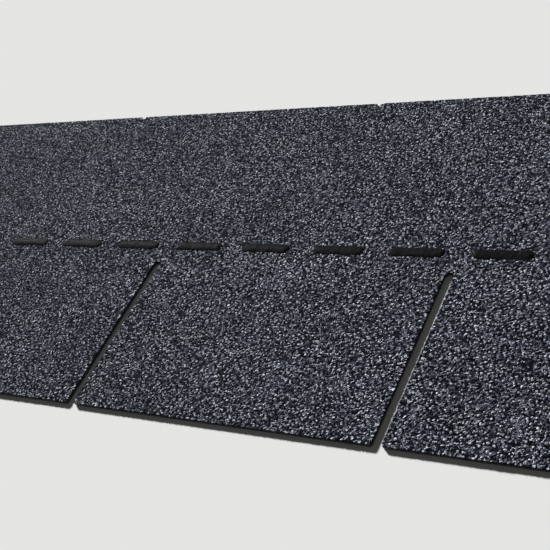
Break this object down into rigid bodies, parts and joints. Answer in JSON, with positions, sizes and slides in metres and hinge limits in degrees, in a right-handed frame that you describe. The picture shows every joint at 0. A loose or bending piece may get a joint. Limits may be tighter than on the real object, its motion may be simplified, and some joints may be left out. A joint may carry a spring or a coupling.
{
  "type": "four-tab asphalt strip shingle",
  "caption": "Flat granule-faced asphalt strip shingle with rectangular tabs parted by narrow slots, sealant dabs above them and a release film on the back.",
  "frame": {"origin": "middle of the footprint, on the plane that the back rests on", "axes": "+X along the course, +Y up the roof slope from the tabs to the covered band, +Z out of the granule face"},
  "size_m": [1, 0.317, 0.0041],
  "materials": {
    "granule_sheet": "matte",
    "sealant": "satin",
    "release_film": "gloss"
  },
  "bodies": {
    "root": {"shingle_strip": "granule_sheet", "seal_strip": "sealant", "release_tape": "release_film"}
  },
  "joints": []
}
